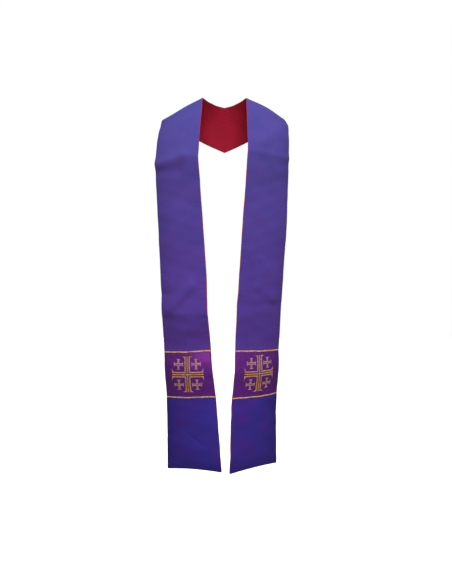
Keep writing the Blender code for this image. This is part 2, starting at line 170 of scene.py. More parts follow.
def measured_half(side, mirror, sections, folds, creases, slack_shift):
    """A half with its knots: the length along the cloth, down its middle, to each section."""
    _, inner, outer, bows, rises = (np.array(column) for column in zip(*sections))
    steps = np.linalg.norm(np.diff((inner + outer) / 2, axis=0), axis=1)
    knots = np.concatenate([[0.0], np.cumsum(steps)])
    return Half(side, mirror, knots, inner, outer, bows, rises, folds, creases, slack_shift)


HALVES = (
    measured_half("right", -1.0, BACK + RIGHT_FRONT, RIGHT_FOLDS, RIGHT_CREASES, 0.0),
    measured_half("left", 1.0, BACK + LEFT_FRONT, LEFT_FOLDS, LEFT_CREASES, LEFT_SLACK_SHIFT),
)
CLOTH_WIDTH = 0.145
SEAM_GAP = 0.0003
SEAM_LAP = 0.0003  # the halves press into each other at the centre-back seam


def curve_through(knots, values, at, first_slope=0.0):
    """Cubic curve through the values at the knots. The slope at a knot is the mean of the slopes
    on its two sides, each weighted by the length of the other side's step."""
    steps = np.diff(knots)
    rises = np.diff(values) / steps
    slopes = np.empty(len(knots))
    slopes[1:-1] = (rises[:-1] * steps[1:] + rises[1:] * steps[:-1]) / (steps[:-1] + steps[1:])
    slopes[0] = first_slope
    slopes[-1] = rises[-1]
    left = np.clip(np.searchsorted(knots, at, side="right") - 1, 0, len(steps) - 1)
    step = steps[left]
    t = (at - knots[left]) / step
    return (
        values[left] * (2 * t**3 - 3 * t**2 + 1)
        + slopes[left] * step * (t**3 - 2 * t**2 + t)
        + values[left + 1] * (3 * t**2 - 2 * t**3)
        + slopes[left + 1] * step * (t**3 - t**2)
    )


def unit(vectors):
    return vectors / np.linalg.norm(vectors, axis=-1, keepdims=True)


def edge(half, ends, along):
    """An edge of the cloth: a cubic curve through the ends of the sections. It leaves the centre
    back in the plane of X and the seam, so that the cloth runs flat across the seam."""
    seam = unit(half.outer[0] - half.inner[0])
    leaving = (ends[1] - ends[0]) / (half.knots[1] - half.knots[0])
    slope = np.dot(leaving, seam) * seam
    slope[0] = leaving[0]
    curves = [curve_through(half.knots, ends[:, i], along, slope[i]) for i in range(3)]
    return np.stack(curves, axis=-1)


def ruled(half, along, across):
    """The straight line between the two edges, shared out by across."""
    share = across[..., None]
    return edge(half, half.inner, along) * (1 - share) + edge(half, half.outer, along) * share


NUDGE = 0.0005  # a step to either side, over which a surface's change is taken


def surface_normals(surface, half, along, across):
    """Cross product of the surface's change along the cloth and its change across it."""
    d_along = surface(half, along + NUDGE, across) - surface(half, along - NUDGE, across)
    d_across = surface(half, along, across + NUDGE) - surface(half, along, across - NUDGE)
    return unit(np.cross(d_along, d_across))


def line_distance(line, along, across):
    """Distance on the cloth from a fold's or a crease's line, and how far towards the hem."""
    line_a = line.to_along - line.from_along
    line_c = (line.to_across - line.from_across) * CLOTH_WIDTH
    a = along - line.from_along
    c = (across - line.from_across) * CLOTH_WIDTH
    t = np.clip((a * line_a + c * line_c) / (line_a**2 + line_c**2), 0, 1)
    return np.hypot(a - t * line_a, c - t * line_c), a - t * line_a


def relief(half, along, across):
    """Height of the cloth over its ruled surface: a parabola across for the bow, a bell curve of
    the distance from each fold, an exponential of the distance from each crease, sine waves for
    the slack, and ripples that die away from the seams and the edges."""
    height = curve_through(half.knots, half.bows, along) * 4 * across * (1 - across)
    for fold in half.folds:
        distance, _ = line_distance(fold, along, across)
        height = height + fold.height * np.exp(-((distance / fold.half_width) ** 2))
    for crease in half.creases:
        distance, towards_hem = line_distance(crease, along, across)
        reach = np.where(towards_hem < 0, crease.back_reach, crease.hem_reach)
        softened = np.hypot(distance, CREASE_TIP) - CREASE_TIP
        height = height + crease.height * np.exp(-softened / reach)
    free = 1 - np.exp(-((along / CENTRE_SEAM_REACH) ** 2))
    for wave in SLACK:
        turns = wave.turns_along * along + wave.turns_across * across
        swell = np.sin(math.tau * turns + wave.phase + half.slack_shift)
        height = height + free * wave.height * swell
    pucker_shift = np.sin(SEAM_PUCKER_WANDER * across)
    ripple = np.sin(math.tau * across * CLOTH_WIDTH / SEAM_PUCKER_PITCH + pucker_shift)
    for seam in (0.0, half.knots[BAND_TOP], half.knots[BAND_BOTTOM]):
        fading = np.exp(-np.abs(along - seam) / SEAM_PUCKER_REACH)
        height = height + SEAM_PUCKER_HEIGHT * fading * ripple
    from_edge = np.abs(np.minimum(across, 1 - across)) * CLOTH_WIDTH
    wave_shift = EDGE_WAVE_SHIFT * np.sin(EDGE_WAVE_WANDER * along)
    flutter = np.sin(math.tau * along / EDGE_WAVE_PITCH + wave_shift + EDGE_WAVE_SLANT * across)
    return height + free * EDGE_WAVE_HEIGHT * np.exp(-from_edge / EDGE_WAVE_REACH) * flutter


def draped(half, along, across):
    """The ruled surface raised by its relief."""
    raised = relief(half, along, across)[..., None]
    return ruled(half, along, across) + raised * surface_normals(ruled, half, along, across)


def lay(half, along, across):
    """Places on the body side of the cloth, and the outward normals there, for whole grids. A
    layer or a stitch goes at place + lift * normal. The cloth is drawn up along itself by a
    parabola across, as high as the rise there."""
    along = along - curve_through(half.knots, half.rises, along) * 4 * across * (1 - across)
    place = draped(half, along, across)
    normal = surface_normals(draped, half, along, across)
    turned = np.array([half.mirror, 1.0, 1.0])
    return place * turned, normal * turned


ROLL_LINES = 4  # grid lines over the quarter turn of an edge
CORNER_LINES = 10  # and over the longer one of a round corner


def spaced(start, end, cell, roll, end_roll=None):
    """Grid lines from start to end: about one cell apart, and closer over the rolled edges, where
    they follow a quarter turn. A larger roll may be given for the end."""
    end_roll = end_roll or roll
    end_lines = ROLL_LINES if end_roll == roll else CORNER_LINES
    opening = roll * (1 - np.cos(np.linspace(0, math.pi / 2, ROLL_LINES)))
    closing = end_roll * (1 - np.cos(np.linspace(0, math.pi / 2, end_lines)))
    middle = np.linspace(start + roll, end - end_roll, 2 + round((end - start) / cell))
    return np.concatenate([start + opening[:-1], middle, (end - closing[:-1])[::-1]])


def rounded_corner(from_end, radius):
    """How far a side edge draws in on its way to an end: a quarter circle of the radius."""
    return radius - np.sqrt(radius**2 - (radius - np.clip(from_end, 0, radius)) ** 2)


def rolled(distance, roll):
    """Share of the full thickness at a distance from an edge: a quarter circle, then level."""
    return np.sqrt(1 - (1 - np.clip(distance / roll, 0, 1)) ** 2)


def quads_of(ids):
    """Quads between the neighbours in a grid of point numbers."""
    corners = [ids[:-1, :-1], ids[1:, :-1], ids[1:, 1:], ids[:-1, 1:]]
    return np.stack(corners, axis=-1).reshape(-1, 4)


def both_sides(face_grid, body_grid):
    """The rows of the face side's grid, then of the body side's inside their shared border."""
    width = face_grid.shape[-1]
    return np.concatenate([face_grid.reshape(-1, width), body_grid[1:-1, 1:-1].reshape(-1, width)])


def mesh_of(name, points, faces, places, mirror):
    """Smooth mesh whose places on the cloth, in metres, are its UV map "chart". A mirrored half
    has its faces turned round."""
    if mirror < 0:
        faces = [face[::-1] for face in faces]
    mesh = bpy.data.meshes.new(name)
    mesh.from_pydata(points.tolist(), [], faces)
    corners = np.fromiter((point for face in faces for point in face), int)
    chart = mesh.uv_layers.new(name="chart")
    chart.uv.foreach_set("vector", places[corners].astype(np.float32).ravel())
    mesh.shade_smooth()
    return mesh


def layer_of_cloth(half, name, along, across, face_lift, body_lift):
    """Closed shell of one layer, from grids of its places along and across the cloth. Its face
    side and its body side stand off by their lifts, which are the same along the border."""
    place, normal = lay(half, along, across)
    face_side = place + face_lift[..., None] * normal
    body_side = place + body_lift[..., None] * normal
    chart = np.stack([across * CLOTH_WIDTH, along], axis=-1)
    rows, columns = along.shape
    face_ids = np.arange(rows * columns).reshape(rows, columns)
    body_ids = face_ids.copy()
    inside = np.arange((rows - 2) * (columns - 2)).reshape(rows - 2, -1)
    body_ids[1:-1, 1:-1] = rows * columns + inside
    faces = np.concatenate([quads_of(face_ids), quads_of(body_ids)[:, ::-1]]).tolist()
    return mesh_of(name, both_sides(face_side, body_side), faces, both_sides(chart, chart),
                   half.mirror)


def write_shares(mesh, name, shares):
    """Gives each point a share from 0 to 1, for a material to read by its name."""
    attribute = mesh.attributes.new(name, "FLOAT", "POINT")
    attribute.data.foreach_set("value", shares.ravel().astype(np.float32))


def set_out(name, data):
    """Object in the scene for a mesh, a light or a camera."""
    made = bpy.data.objects.new(name, data)
    bpy.context.scene.collection.objects.link(made)
    return made


def add_piece(mesh, material, node):
    """Puts a mesh on the stole as one piece, in place of its plain solid."""
    mesh.materials.append(material)
    piece = set_out(mesh.name, mesh)
    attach(piece, "root")
    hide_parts(node)
    return piece


FACE_LIFT = 0.0013  # underside of the face cloth, over the lining and a gap
FACE_WALL = 0.0012
EDGE_ROLL = 0.0009
HEM_CORNER = 0.0030
TURNING_WIDTH = 0.012  # seam allowance turned under, which shows as a faint step
TURNING_STEP = 0.00018
TURNING_RAMP = 0.002  # the step comes down over this width
CLOTH_CELL = 0.0027
OUTER_SHADE_REACH = 0.025  # painted shade darkens the colour this far in from the outer edge
HEM_SHADE_REACH = 0.030  # and this far up from a hem


def face_panel(half, piece, start, end, hemmed, material):
    """A panel of face cloth between two lengths. Both sides of its wall close to the middle of
    the wall in a quarter circle at every edge, and the turned edges are a little thicker. A
    hemmed end is turned too, and has round corners."""
    corner = HEM_CORNER if hemmed else EDGE_ROLL
    along = spaced(start, end, CLOTH_CELL, EDGE_ROLL, corner)[:, None]
    share = (spaced(0.0, CLOTH_WIDTH, CLOTH_CELL, EDGE_ROLL) / CLOTH_WIDTH)[None, :]
    inset = rounded_corner(end - along, corner) if hemmed else np.zeros_like(along)
    from_inner = inset + (CLOTH_WIDTH - 2 * inset) * share
    along = np.broadcast_to(along, from_inner.shape)
    from_side = np.minimum(from_inner - inset, CLOTH_WIDTH - inset - from_inner)
    from_end = np.minimum(along - start, end - along)
    thickness = rolled(from_side, EDGE_ROLL) * rolled(from_end, EDGE_ROLL) * FACE_WALL / 2
    from_fold = np.minimum(from_side, end - along) if hemmed else from_side
    turning = TURNING_STEP * np.clip((TURNING_WIDTH - from_fold) / TURNING_RAMP, 0, 1)
    middle = FACE_LIFT + FACE_WALL / 2
    node = f"{half.side}_{piece}"
    mesh = layer_of_cloth(half, f"{node}_cloth", along, from_inner / CLOTH_WIDTH,
                          middle + thickness + turning * (thickness > 0), middle - thickness)
    # Painted shade: the colour is drawn darker towards the outer edge, and towards the hem,
    # where the cloth turns away from the light.
    edge_shading = np.exp(-(CLOTH_WIDTH - inset - from_inner) / OUTER_SHADE_REACH)
    if hemmed:
        edge_shading = 1 - (1 - edge_shading) * (1 - np.exp(-(end - along) / HEM_SHADE_REACH))
    write_shares(mesh, "painted_edge_shade", both_sides(edge_shading[..., None], edge_shading[..., None]))
    return add_piece(mesh, material, node)


def linear(hex_colour):
    """Linear RGBA of an sRGB hex colour."""
    values = [int(hex_colour[i:i + 2], 16) / 255 for i in (1, 3, 5)]
    return [v / 12.92 if v <= 0.04045 else ((v + 0.055) / 1.055) ** 2.4 for v in values] + [1.0]


def add_node(material, kind, inputs, output=None, **settings):
    """Adds a shader node: settings go on the node, and inputs on its sockets, as a value or, for
    a socket of another node, as a link. Returns the named output, or else its first."""
    made = material.node_tree.nodes.new("ShaderNode" + kind)
    for name, value in settings.items():
        setattr(made, name, value)
    for socket, value in inputs.items():
        if isinstance(value, bpy.types.NodeSocket):
            material.node_tree.links.new(value, made.inputs[socket])
        else:
            made.inputs[socket].default_value = value
    outputs = {socket.name: socket for socket in made.outputs if socket.enabled}
    return outputs[output] if output else next(iter(outputs.values()), None)


def bare_material(name):
    """Material without nodes."""
    material = bpy.data.materials.new(name)
    material.use_nodes = True
    material.node_tree.nodes.clear()
    return material


def drawn_towards(material, colour, other, value, starts=0.0, ends=1.0, most=1.0):
    """The colour mixed with another, by a share that rises in a straight line from nothing, where
    the value is at its start, to the most, where it is at its end."""
    share = add_node(material, "MapRange", {
        "Value": value, "From Min": starts, "From Max": ends, "To Max": most})
    return add_node(material, "Mix", {"Factor": share, "A": colour, "B": linear(other)},
                    data_type="RGBA")


def painted_edge_shade(material, colour, edge_shade_colour):
    """The colour, taken towards a darker one by the painted shade that face_panel writes on the
    points. Cloth without that attribute stays as it is."""
    edge_shading = add_node(material, "Attribute", {}, output="Fac", attribute_name="painted_edge_shade")
    return drawn_towards(material, colour, edge_shade_colour, edge_shading)


LIGHT_TINT_STARTS = 0.35  # length along the cloth at the chest
LIGHT_TINT_ENDS = 1.00  # and just above the band


def light_tinted_down(material, chart, colour, at_chest, at_band):
    """The colour times a tint of painted light, which goes from one tint at the chest to
    another at the band.
    """
    along = add_node(material, "SeparateXYZ", {"Vector": chart}, output="Y")
    tint = drawn_towards(material, linear(at_chest), at_band, along, LIGHT_TINT_STARTS, LIGHT_TINT_ENDS)
    return add_node(material, "VectorMath", {0: colour, 1: tint}, operation="MULTIPLY")


DYE_CLOUDS = 9.0  # lighter and darker patches in a metre: each about 110 mm
CAST_PATCHES = 14.0  # patches of another cast in a metre: each about 70 mm
YARN_RELIEF = 0.3  # share of the thread's width


def plain_woven(name, dark, light, cast, edge_shade_colour, roughness, sheen, sheen_tint, thread, stretch,
                fading=("#FFFFFF", "#FFFFFF")):
    """Plain weave from its real thread. Warp and weft are noise drawn out along the threads, each
    yarn a little lighter or darker than the next, and the same noise raises them. The dye takes
    unevenly over a hand's width, and has another cast in patches. Painted shade draws it towards
    the edge shade colour, and fading holds two tints of painted light, for the chest and the band."""
    material = bare_material(name)
    chart = add_node(material, "UVMap", {}, uv_map="chart")
    yarns = []
    for across, along in ((thread, thread * stretch), (thread * stretch, thread)):
        scale = (1 / across, 1 / along, 1)
        spread = add_node(material, "VectorMath", {0: chart, 1: scale}, operation="MULTIPLY")
        yarns.append(add_node(material, "TexNoise", {
            "Vector": spread, "Scale": 1.0, "Detail": 2.0, "Roughness": 0.6}))
    weave = add_node(material, "Math", {0: yarns[0], 1: yarns[1]}, operation="ADD")
    place = add_node(material, "TexCoord", {}, output="Object")
    clouds = add_node(material, "TexNoise", {"Vector": place, "Scale": DYE_CLOUDS, "Detail": 3.0})
    dye = add_node(material, "MapRange", {
        "Value": clouds, "From Min": 0.3, "From Max": 0.7, "To Min": -0.18, "To Max": 0.18})
    tone = add_node(material, "MapRange", {"Value": weave, "From Min": 0.7, "From Max": 1.3})
    shade = add_node(material, "Math", {0: tone, 1: dye}, operation="ADD")
    dyed = drawn_towards(material, linear(dark), light, shade)
    patches = add_node(material, "TexNoise", {
        "Vector": place, "Scale": CAST_PATCHES, "Detail": 1.5})
    colour = drawn_towards(material, dyed, cast, patches, 0.40, 0.66, 0.6)
    bump = add_node(material, "Bump", {
        "Height": weave, "Strength": 0.35, "Distance": thread * YARN_RELIEF})
    cloth = add_node(material, "BsdfPrincipled", {
        "Base Color": light_tinted_down(material, chart, painted_edge_shade(material, colour, edge_shade_colour), *fading),
        "Roughness": roughness, "Specular IOR Level": 0.2, "Specular Tint": linear(light),
        "Sheen Weight": sheen, "Sheen Roughness": 0.43, "Sheen Tint": linear(sheen_tint),
        "Normal": bump})
    add_node(material, "OutputMaterial", {"Surface": cloth})
    return material


# Polyester in plain weave, piece-dyed: even and matt, with a faint bloom where light grazes it.
# Its yarns are 0.25 mm across, and are drawn as 0.6 mm so that they show. Its colour carries
# painted light along its length: greener at the chest, under the light from above, and pinker
# towards the band.
VIOLET_POLYESTER = plain_woven("violet_polyester", "#44377A", "#564191", "#553C86", edge_shade_colour="#483577",
                               roughness=0.75, sheen=0.45, sheen_tint="#CCC8FF", thread=0.0006,
                               stretch=40, fading=("#EBFFF5", "#FFE7FF"))

for half in HALVES:
    upper = face_panel(half, "upper", -SEAM_LAP, half.knots[BAND_TOP] - SEAM_GAP / 2, False,
                       VIOLET_POLYESTER)


# Bands. A piece of magenta satin is let in across each front, above the end of the stole. Satin
# is woven with long floats on its face, so it shines along them and looks darker across.
DIMPLE_PITCH = 0.008
SATIN_GRAIN = 260.0  # specks in a metre: each about 4 mm


def satin_woven(name, dark, light, dimple, edge_shade_colour, thread, stretch):
    """Satin: long floats lie along the warp, so the noise is drawn out that way only. The gloss
    is stretched across the floats by the shader's anisotropy."""
    material = bare_material(name)
    chart = add_node(material, "UVMap", {}, uv_map="chart")
    scale = (1 / (thread * stretch), 1 / thread, 1)
    spread = add_node(material, "VectorMath", {0: chart, 1: scale}, operation="MULTIPLY")
    floats = add_node(material, "TexNoise", {
        "Vector": spread, "Scale": 1.0, "Detail": 3.0, "Roughness": 0.65})
    place = add_node(material, "TexCoord", {}, output="Object")
    grain = add_node(material, "TexNoise", {"Vector": place, "Scale": SATIN_GRAIN, "Detail": 2.0})
    mottle = add_node(material, "Math", {0: floats, 1: grain}, operation="ADD")
    woven = drawn_towards(material, linear(dark), light, mottle, 0.75, 1.25)
    # Bluer and darker patches in a noise are painted shade, for small dimples that the embroidery
    # draws into the ground.
    dimple_shade = add_node(material, "TexNoise", {
        "Vector": place, "Scale": 1 / DIMPLE_PITCH, "Detail": 2.0})
    colour = drawn_towards(material, woven, dimple, dimple_shade, 0.42, 0.70, 0.45)
    bump = add_node(material, "Bump", {
        "Height": mottle, "Strength": 0.3, "Distance": thread * YARN_RELIEF})
    tangent = add_node(material, "Tangent", {}, direction_type="UV_MAP", uv_map="chart")
    # The band's outer edge takes the same painted shade as the cloth.
    satin = add_node(material, "BsdfPrincipled", {
        "Base Color": painted_edge_shade(material, colour, edge_shade_colour), "Roughness": 0.42, "Anisotropic": 0.5,
        "Specular IOR Level": 1.0, "Specular Tint": linear("#F094FF"),
        "Sheen Weight": 0.1, "Sheen Roughness": 0.3, "Sheen Tint": linear("#D9A0E8"),
        "Normal": bump, "Tangent": tangent})
    add_node(material, "OutputMaterial", {"Surface": satin})
    return material


# Polyester satin, calendered: the threads are too fine to show, and are drawn as 0.8 mm.
MAGENTA_SATIN = satin_woven("magenta_satin", "#40155E", "#5C207C", "#2C1054", edge_shade_colour="#33124F",
                            thread=0.0008, stretch=12)

bands = [
    face_panel(half, "band", half.knots[BAND_TOP] + SEAM_GAP / 2,
               half.knots[BAND_BOTTOM] - SEAM_GAP / 2, False, MAGENTA_SATIN)
    for half in HALVES
]


# Ends. Below the band each half goes on in the violet polyester, a little wider towards the hem,
# which is turned under and pressed as the sides are. Its material is a darker copy of the
# violet polyester, as painted shade, since less light reaches the ends than the upper panels.
SHADED_END_POLYESTER = plain_woven("violet_polyester_end_shaded", "#302875", "#3D3190", "#48267F",
                            edge_shade_colour="#292065", roughness=0.75, sheen=0.25, sheen_tint="#B8C0FA",
                            thread=0.0006, stretch=40)

for half in HALVES:
    end_panel = face_panel(half, "end", half.knots[BAND_BOTTOM] + SEAM_GAP / 2, half.knots[HEM],
                           True, SHADED_END_POLYESTER)


# Crosses. A Jerusalem cross is machine-embroidered on each band in antique gold thread: a large
# cross with a crosslet in each of its corners. Its strands are satin stitch, with the threads
# lying side by side across each strand over a little padding.

# Each pair is the size for the arms that lie across the band, then for the arms along it. Groove
# edges are the inner sides of the strands that go round the corners, from an arm's middle line.
Cross = namedtuple(
    "Cross", "size arm_widths end_widths flare bar groove_edges middle_widths height")
LARGE_CROSS = Cross(
    size=(0.0965, 0.1170), arm_widths=(0.0184, 0.0170), end_widths=(0.056, 0.042), flare=0.0074,
    bar=None, groove_edges=(0.0050, 0.0045), middle_widths=(0.0041, 0.0037), height=0.0011)
CROSSLET = Cross(
    size=(0.0285, 0.0332), arm_widths=(0.0066, 0.0052), end_widths=(0.0150, 0.0125), flare=0.0026,
    bar=(0.0018, 0.0018), groove_edges=(0.0010, 0.0005), middle_widths=None, height=0.0008)
CROSSLET_OFFSET = (0.0272, 0.0335)
# How a cross lies on its band. Its centre: how far above the middle of the band, and its share of
# the width. Then the inward lean of its upright arms, the rise of its level arms towards the
# outer edge, and how much the outer ones are taken in, by the square of the distance out.
CrossPlace = namedtuple("CrossPlace", "raised across lean tilt taken_in")
CROSS_PLACES = {
    "right": CrossPlace(0.0018, 0.5110, 0.026, 0.026, 0.0),
    "left": CrossPlace(0.0028, 0.5395, 0.007, 0.027, 1.5),
}
STITCH_PITCH = 0.0008  # the thread is 0.4 mm, and is drawn twice as coarse so that it shows
STITCH_STEPS = 4  # grid lines to one stitch
STITCH_SLANT = 0.6  # of a stitch, from one side of a strand to the other
STITCH_GROOVE = 0.22  # share of the strand's height
STITCH_SINK = 0.0001  # strands are pressed this far into the band
STITCH_BASE = FACE_LIFT + FACE_WALL - STITCH_SINK
STRAND_ROUNDING = 3  # power of its section: 2 would be a half ellipse
STRAND_END = 0.0008  # length over which its ends fall to the ground
CORNER_LANES = 7  # grid lines across a strand that goes round a corner
STRAIGHT_LANES = 5
MIDDLE_LIFTS = (1.0, 1.15)  # the upright middle strand runs over the level one
PADDING_WIDTH = 0.8  # share of the arm's width
PADDING_HEIGHT = 0.4  # share of the strand's height
PADDING_LENGTH = 0.99  # share of the arm's length
PADDING_SHADE = 1.0  # it lies as deep in shade as a groove
BAR_HEIGHT = 1.1  # share of the strand's height
BAR_TAPER = 1.5  # power of the distance from its middle
TIP_WIDTH = 0.0008


def arm_side(reach, half_arm, half_end, flare, half_size):
    """Distance of an arm's side from its middle line: level, then out along a quarter ellipse."""
    turn = np.clip((reach - (half_size - flare)) / flare, 0, 1)
    return half_arm + (half_end - half_arm) * (1 - np.sqrt(1 - turn**2))


def stitched_strand(length, lanes, place_of, height):
    """Grid of one strand: rows along it, a quarter of a stitch apart, and lanes across it. Its
    height is a padded round across, falls to nothing at both ends, and dips between stitches.
    Returns the flat places, the heights and how deep each point lies in a groove."""
    rows = round(length / STITCH_PITCH * STITCH_STEPS)
    run, share = np.meshgrid(np.linspace(0, length, rows + 1), np.linspace(0, 1, lanes),
                             indexing="ij")
    round_across = np.sqrt(np.clip(1 - np.abs(2 * share - 1) ** STRAND_ROUNDING, 0, 1))
    groove = 0.5 - 0.5 * np.cos(math.tau * (run / STITCH_PITCH + STITCH_SLANT * share))
    ends = rolled(np.minimum(run, length - run), STRAND_END)
    level = height * round_across * ends * (1 - STITCH_GROOVE * groove)
    return place_of(run, share), level, groove


def corner_strand(cross, right, up):
    """L-shaped strand in one corner of a cross: in along the upright arm, round the corner on a
    mitre, and out along the level arm. It widens into the flare at both ends."""
    half_size = [s / 2 for s in cross.size]
    half_arm = [w / 2 for w in cross.arm_widths]
    half_end = [w / 2 for w in cross.end_widths]
    near_y, near_x = cross.groove_edges
    middle_x = (near_x + half_arm[1]) / 2
    middle_y = (near_y + half_arm[0]) / 2
    upright = half_size[1] - middle_y
    level = half_size[0] - middle_x
    fan = 2 * max(half_arm[0] - near_y, half_arm[1] - near_x)

    def place_of(run, share):
        from_corner = run - upright
        fanned = np.clip(1 - np.abs(from_corner) / fan, 0, 1) ** 2
        mitre_x = near_x + (half_arm[1] - near_x) * share
        mitre_y = near_y + (half_arm[0] - near_y) * share
        y_up = middle_y - from_corner + (mitre_y - middle_y) * fanned
        side_x = arm_side(y_up, half_arm[1], half_end[1], cross.flare, half_size[1])
        x_up = near_x + (side_x - near_x) * share
        x_out = middle_x + from_corner + (mitre_x - middle_x) * fanned
        side_y = arm_side(x_out, half_arm[0], half_end[0], cross.flare, half_size[0])
        y_out = near_y + (side_y - near_y) * share
        on_upright = from_corner < 0
        return np.stack([np.where(on_upright, x_up, x_out) * right,
                         np.where(on_upright, y_up, y_out) * up], axis=-1)

    return stitched_strand(upright + level, CORNER_LANES, place_of, cross.height)


def straight_strand(start, end, width, tip_width, height):
    """Strand along a straight line. It tapers from its width at the middle to that of its tips."""
    start, end = np.array(start), np.array(end)
    length = np.linalg.norm(end - start)
    ahead = (end - start) / length
    side = np.array([-ahead[1], ahead[0]])

    def place_of(run, share):
        fullness = 1 - np.abs(2 * (run / length) - 1) ** BAR_TAPER
        off_line = (share - 0.5) * (tip_width + (width - tip_width) * fullness)
        return start + run[..., None] * ahead + off_line[..., None] * side

    return stitched_strand(length, STRAIGHT_LANES, place_of, height)


def end_bar(cross, axis, sign):
    """Serif at the end of an arm: thick where the arm meets it, tapering to both tips."""
    half_length = cross.end_widths[axis] / 2
    thickness = cross.bar[axis]
    at = sign * (cross.size[axis] / 2 - thickness / 2)
    start = (at, -half_length) if axis == 0 else (-half_length, at)
    end = (at, half_length) if axis == 0 else (half_length, at)
    return straight_strand(start, end, thickness, TIP_WIDTH, cross.height * BAR_HEIGHT)


def strands_of(cross):
    """All strands of a cross, about its centre, with X outwards across the band and Y up. A
    middle strand runs along each arm, over flat padding stitches that fill the arm's grooves."""
    strands = [corner_strand(cross, right, up) for right in (1, -1) for up in (1, -1)]
    if cross.middle_widths:
        for axis, lift in enumerate(MIDDLE_LIFTS):
            end = np.eye(2)[axis] * cross.size[axis] / 2
            middle = cross.middle_widths[axis]
            strands.append(straight_strand(-end, end, middle, middle, cross.height * lift))
            padding = cross.arm_widths[axis] * PADDING_WIDTH
            flat, level, groove = straight_strand(
                -end * PADDING_LENGTH, end * PADDING_LENGTH, padding, padding,
                cross.height * PADDING_HEIGHT)
            strands.append((flat, level, np.full_like(groove, PADDING_SHADE)))
    if cross.bar:
        strands += [end_bar(cross, axis, sign) for axis in (0, 1) for sign in (1, -1)]
    return strands


def places_on_band(half, flat):
    """Places along and across the cloth of flat points about the centre of a half's cross. X runs
    outwards across the band and Y up along it."""
    lies = CROSS_PLACES[half.side]
    x, y = flat[..., 0], flat[..., 1]
    outwards = x - lies.taken_in * np.maximum(x, 0.0) ** 2 - lies.lean * y
    middle = (half.knots[BAND_TOP] + half.knots[BAND_BOTTOM]) / 2
    along = middle - lies.raised - y - lies.tilt * x
    return along, lies.across + outwards / CLOTH_WIDTH


def sewn_on(half, name, strands):
    """Mesh of strands on the band. Each is given by grids of its places along and across the
    cloth, its heights, its grooves and its chart. It is closed below by one more row of quads
    along it, and by a face at each end. Where its last lane lies on the right of its run, its
    faces are turned round, so that they point outwards."""
    points, faces, places, grooves, first = [], [], [], [], 0
    for along, across, level, groove, chart in strands:
        place, normal = lay(half, along, across)
        points.append((place + (STITCH_BASE + level)[..., None] * normal).reshape(-1, 3))
        places.append(chart.reshape(-1, 2))
        grooves.append(groove.ravel())
        ids = first + np.arange(level.size).reshape(level.shape)
        strand = quads_of(np.concatenate([ids, ids[:, :1]], axis=1)).tolist()
        strand += [ids[0].tolist(), ids[-1, ::-1].tolist()]
        row, lane = level.shape[0] // 2, level.shape[1] // 2
        ahead = chart[row + 1, lane] - chart[row, lane]
        to_side = chart[row, -1] - chart[row, 0]
        on_right = ahead[0] * to_side[1] > ahead[1] * to_side[0]
        faces += [face[::-1] for face in strand] if on_right else strand
        first += level.size
    mesh = mesh_of(name, np.concatenate(points), faces, np.concatenate(places), half.mirror)
    write_shares(mesh, "groove", np.concatenate(grooves))
    return mesh


def embroidery(half, piece, cross, offset, material):
    """A cross on the band, at its offset from the centre of the large one."""
    strands = []
    for flat, level, groove in strands_of(cross):
        along, across = places_on_band(half, flat + np.array(offset))
        chart = np.stack([across * CLOTH_WIDTH, along], axis=-1)
        strands.append((along, across, level, groove, chart))
    node = f"{half.side}_{piece}"
    mesh = sewn_on(half, f"{node}_stitches", strands)
    return add_piece(mesh, material, node)


STITCH_SHADES = 0.6 / STITCH_PITCH  # changes of shade in a metre: one in each stitch or two
VISCOSE_FIBRES = 6000.0  # in a metre: a sixth of a millimetre each


def stitched_thread(name, groove_shade, dark, light, roughness, drift):
    """Satin stitch in viscose thread: each stitch a little lighter or darker than the next, and
    all of them lighter or darker over a drift. The grooves take a darker colour: painted shade,
    and in the embroidery the ground showing between the threads."""
    material = bare_material(name)
    chart = add_node(material, "UVMap", {}, uv_map="chart")
    each = add_node(material, "TexNoise", {"Vector": chart, "Scale": STITCH_SHADES, "Detail": 2.0})
    wide = add_node(material, "TexNoise", {"Vector": chart, "Scale": 1 / drift, "Detail": 1.0})
    both = add_node(material, "Math", {0: each, 1: wide}, operation="ADD")
    thread = drawn_towards(material, linear(dark), light, both, 0.72, 1.28)
    groove = add_node(material, "Attribute", {}, output="Fac", attribute_name="groove")
    colour = drawn_towards(material, thread, groove_shade, groove, 0.60, 1.0, 0.92)
    fibres = add_node(material, "TexNoise", {
        "Vector": chart, "Scale": VISCOSE_FIBRES, "Detail": 1.0})
    bump = add_node(material, "Bump", {"Height": fibres, "Strength": 0.2, "Distance": 0.0001})
    stitch = add_node(material, "BsdfPrincipled", {
        "Base Color": colour, "Roughness": roughness, "Anisotropic": 0.3,
        "Specular IOR Level": 0.5, "Specular Tint": linear("#F0CE8C"), "Normal": bump})
    add_node(material, "OutputMaterial", {"Surface": stitch})
    return material


# Viscose embroidery thread, antique gold: fine bright threads, with the satin's violet in shade
# between them. The crosslets are stitched more openly, so more of the satin shows through them.
GOLD_THREAD = stitched_thread("gold_embroidery_thread", "#43205C", "#A06C36", "#E6AE72",
                              roughness=0.42, drift=0.006)
OPEN_GOLD_THREAD = stitched_thread("gold_embroidery_thread_open", "#83405E", "#B27C5A", "#E8B890",
                                   roughness=0.5, drift=0.008)

crosses = {"right": [], "left": []}
for half in HALVES:
    crosses[half.side].append(embroidery(half, "cross", LARGE_CROSS, (0.0, 0.0), GOLD_THREAD))
    for row, up in (("upper", 1), ("lower", -1)):
        for side, outwards in (("inner", -1), ("outer", 1)):
            offset = (outwards * CROSSLET_OFFSET[0], up * CROSSLET_OFFSET[1])
            crosses[half.side].append(
                embroidery(half, f"crosslet_{row}_{side}", CROSSLET, offset, OPEN_GOLD_THREAD))


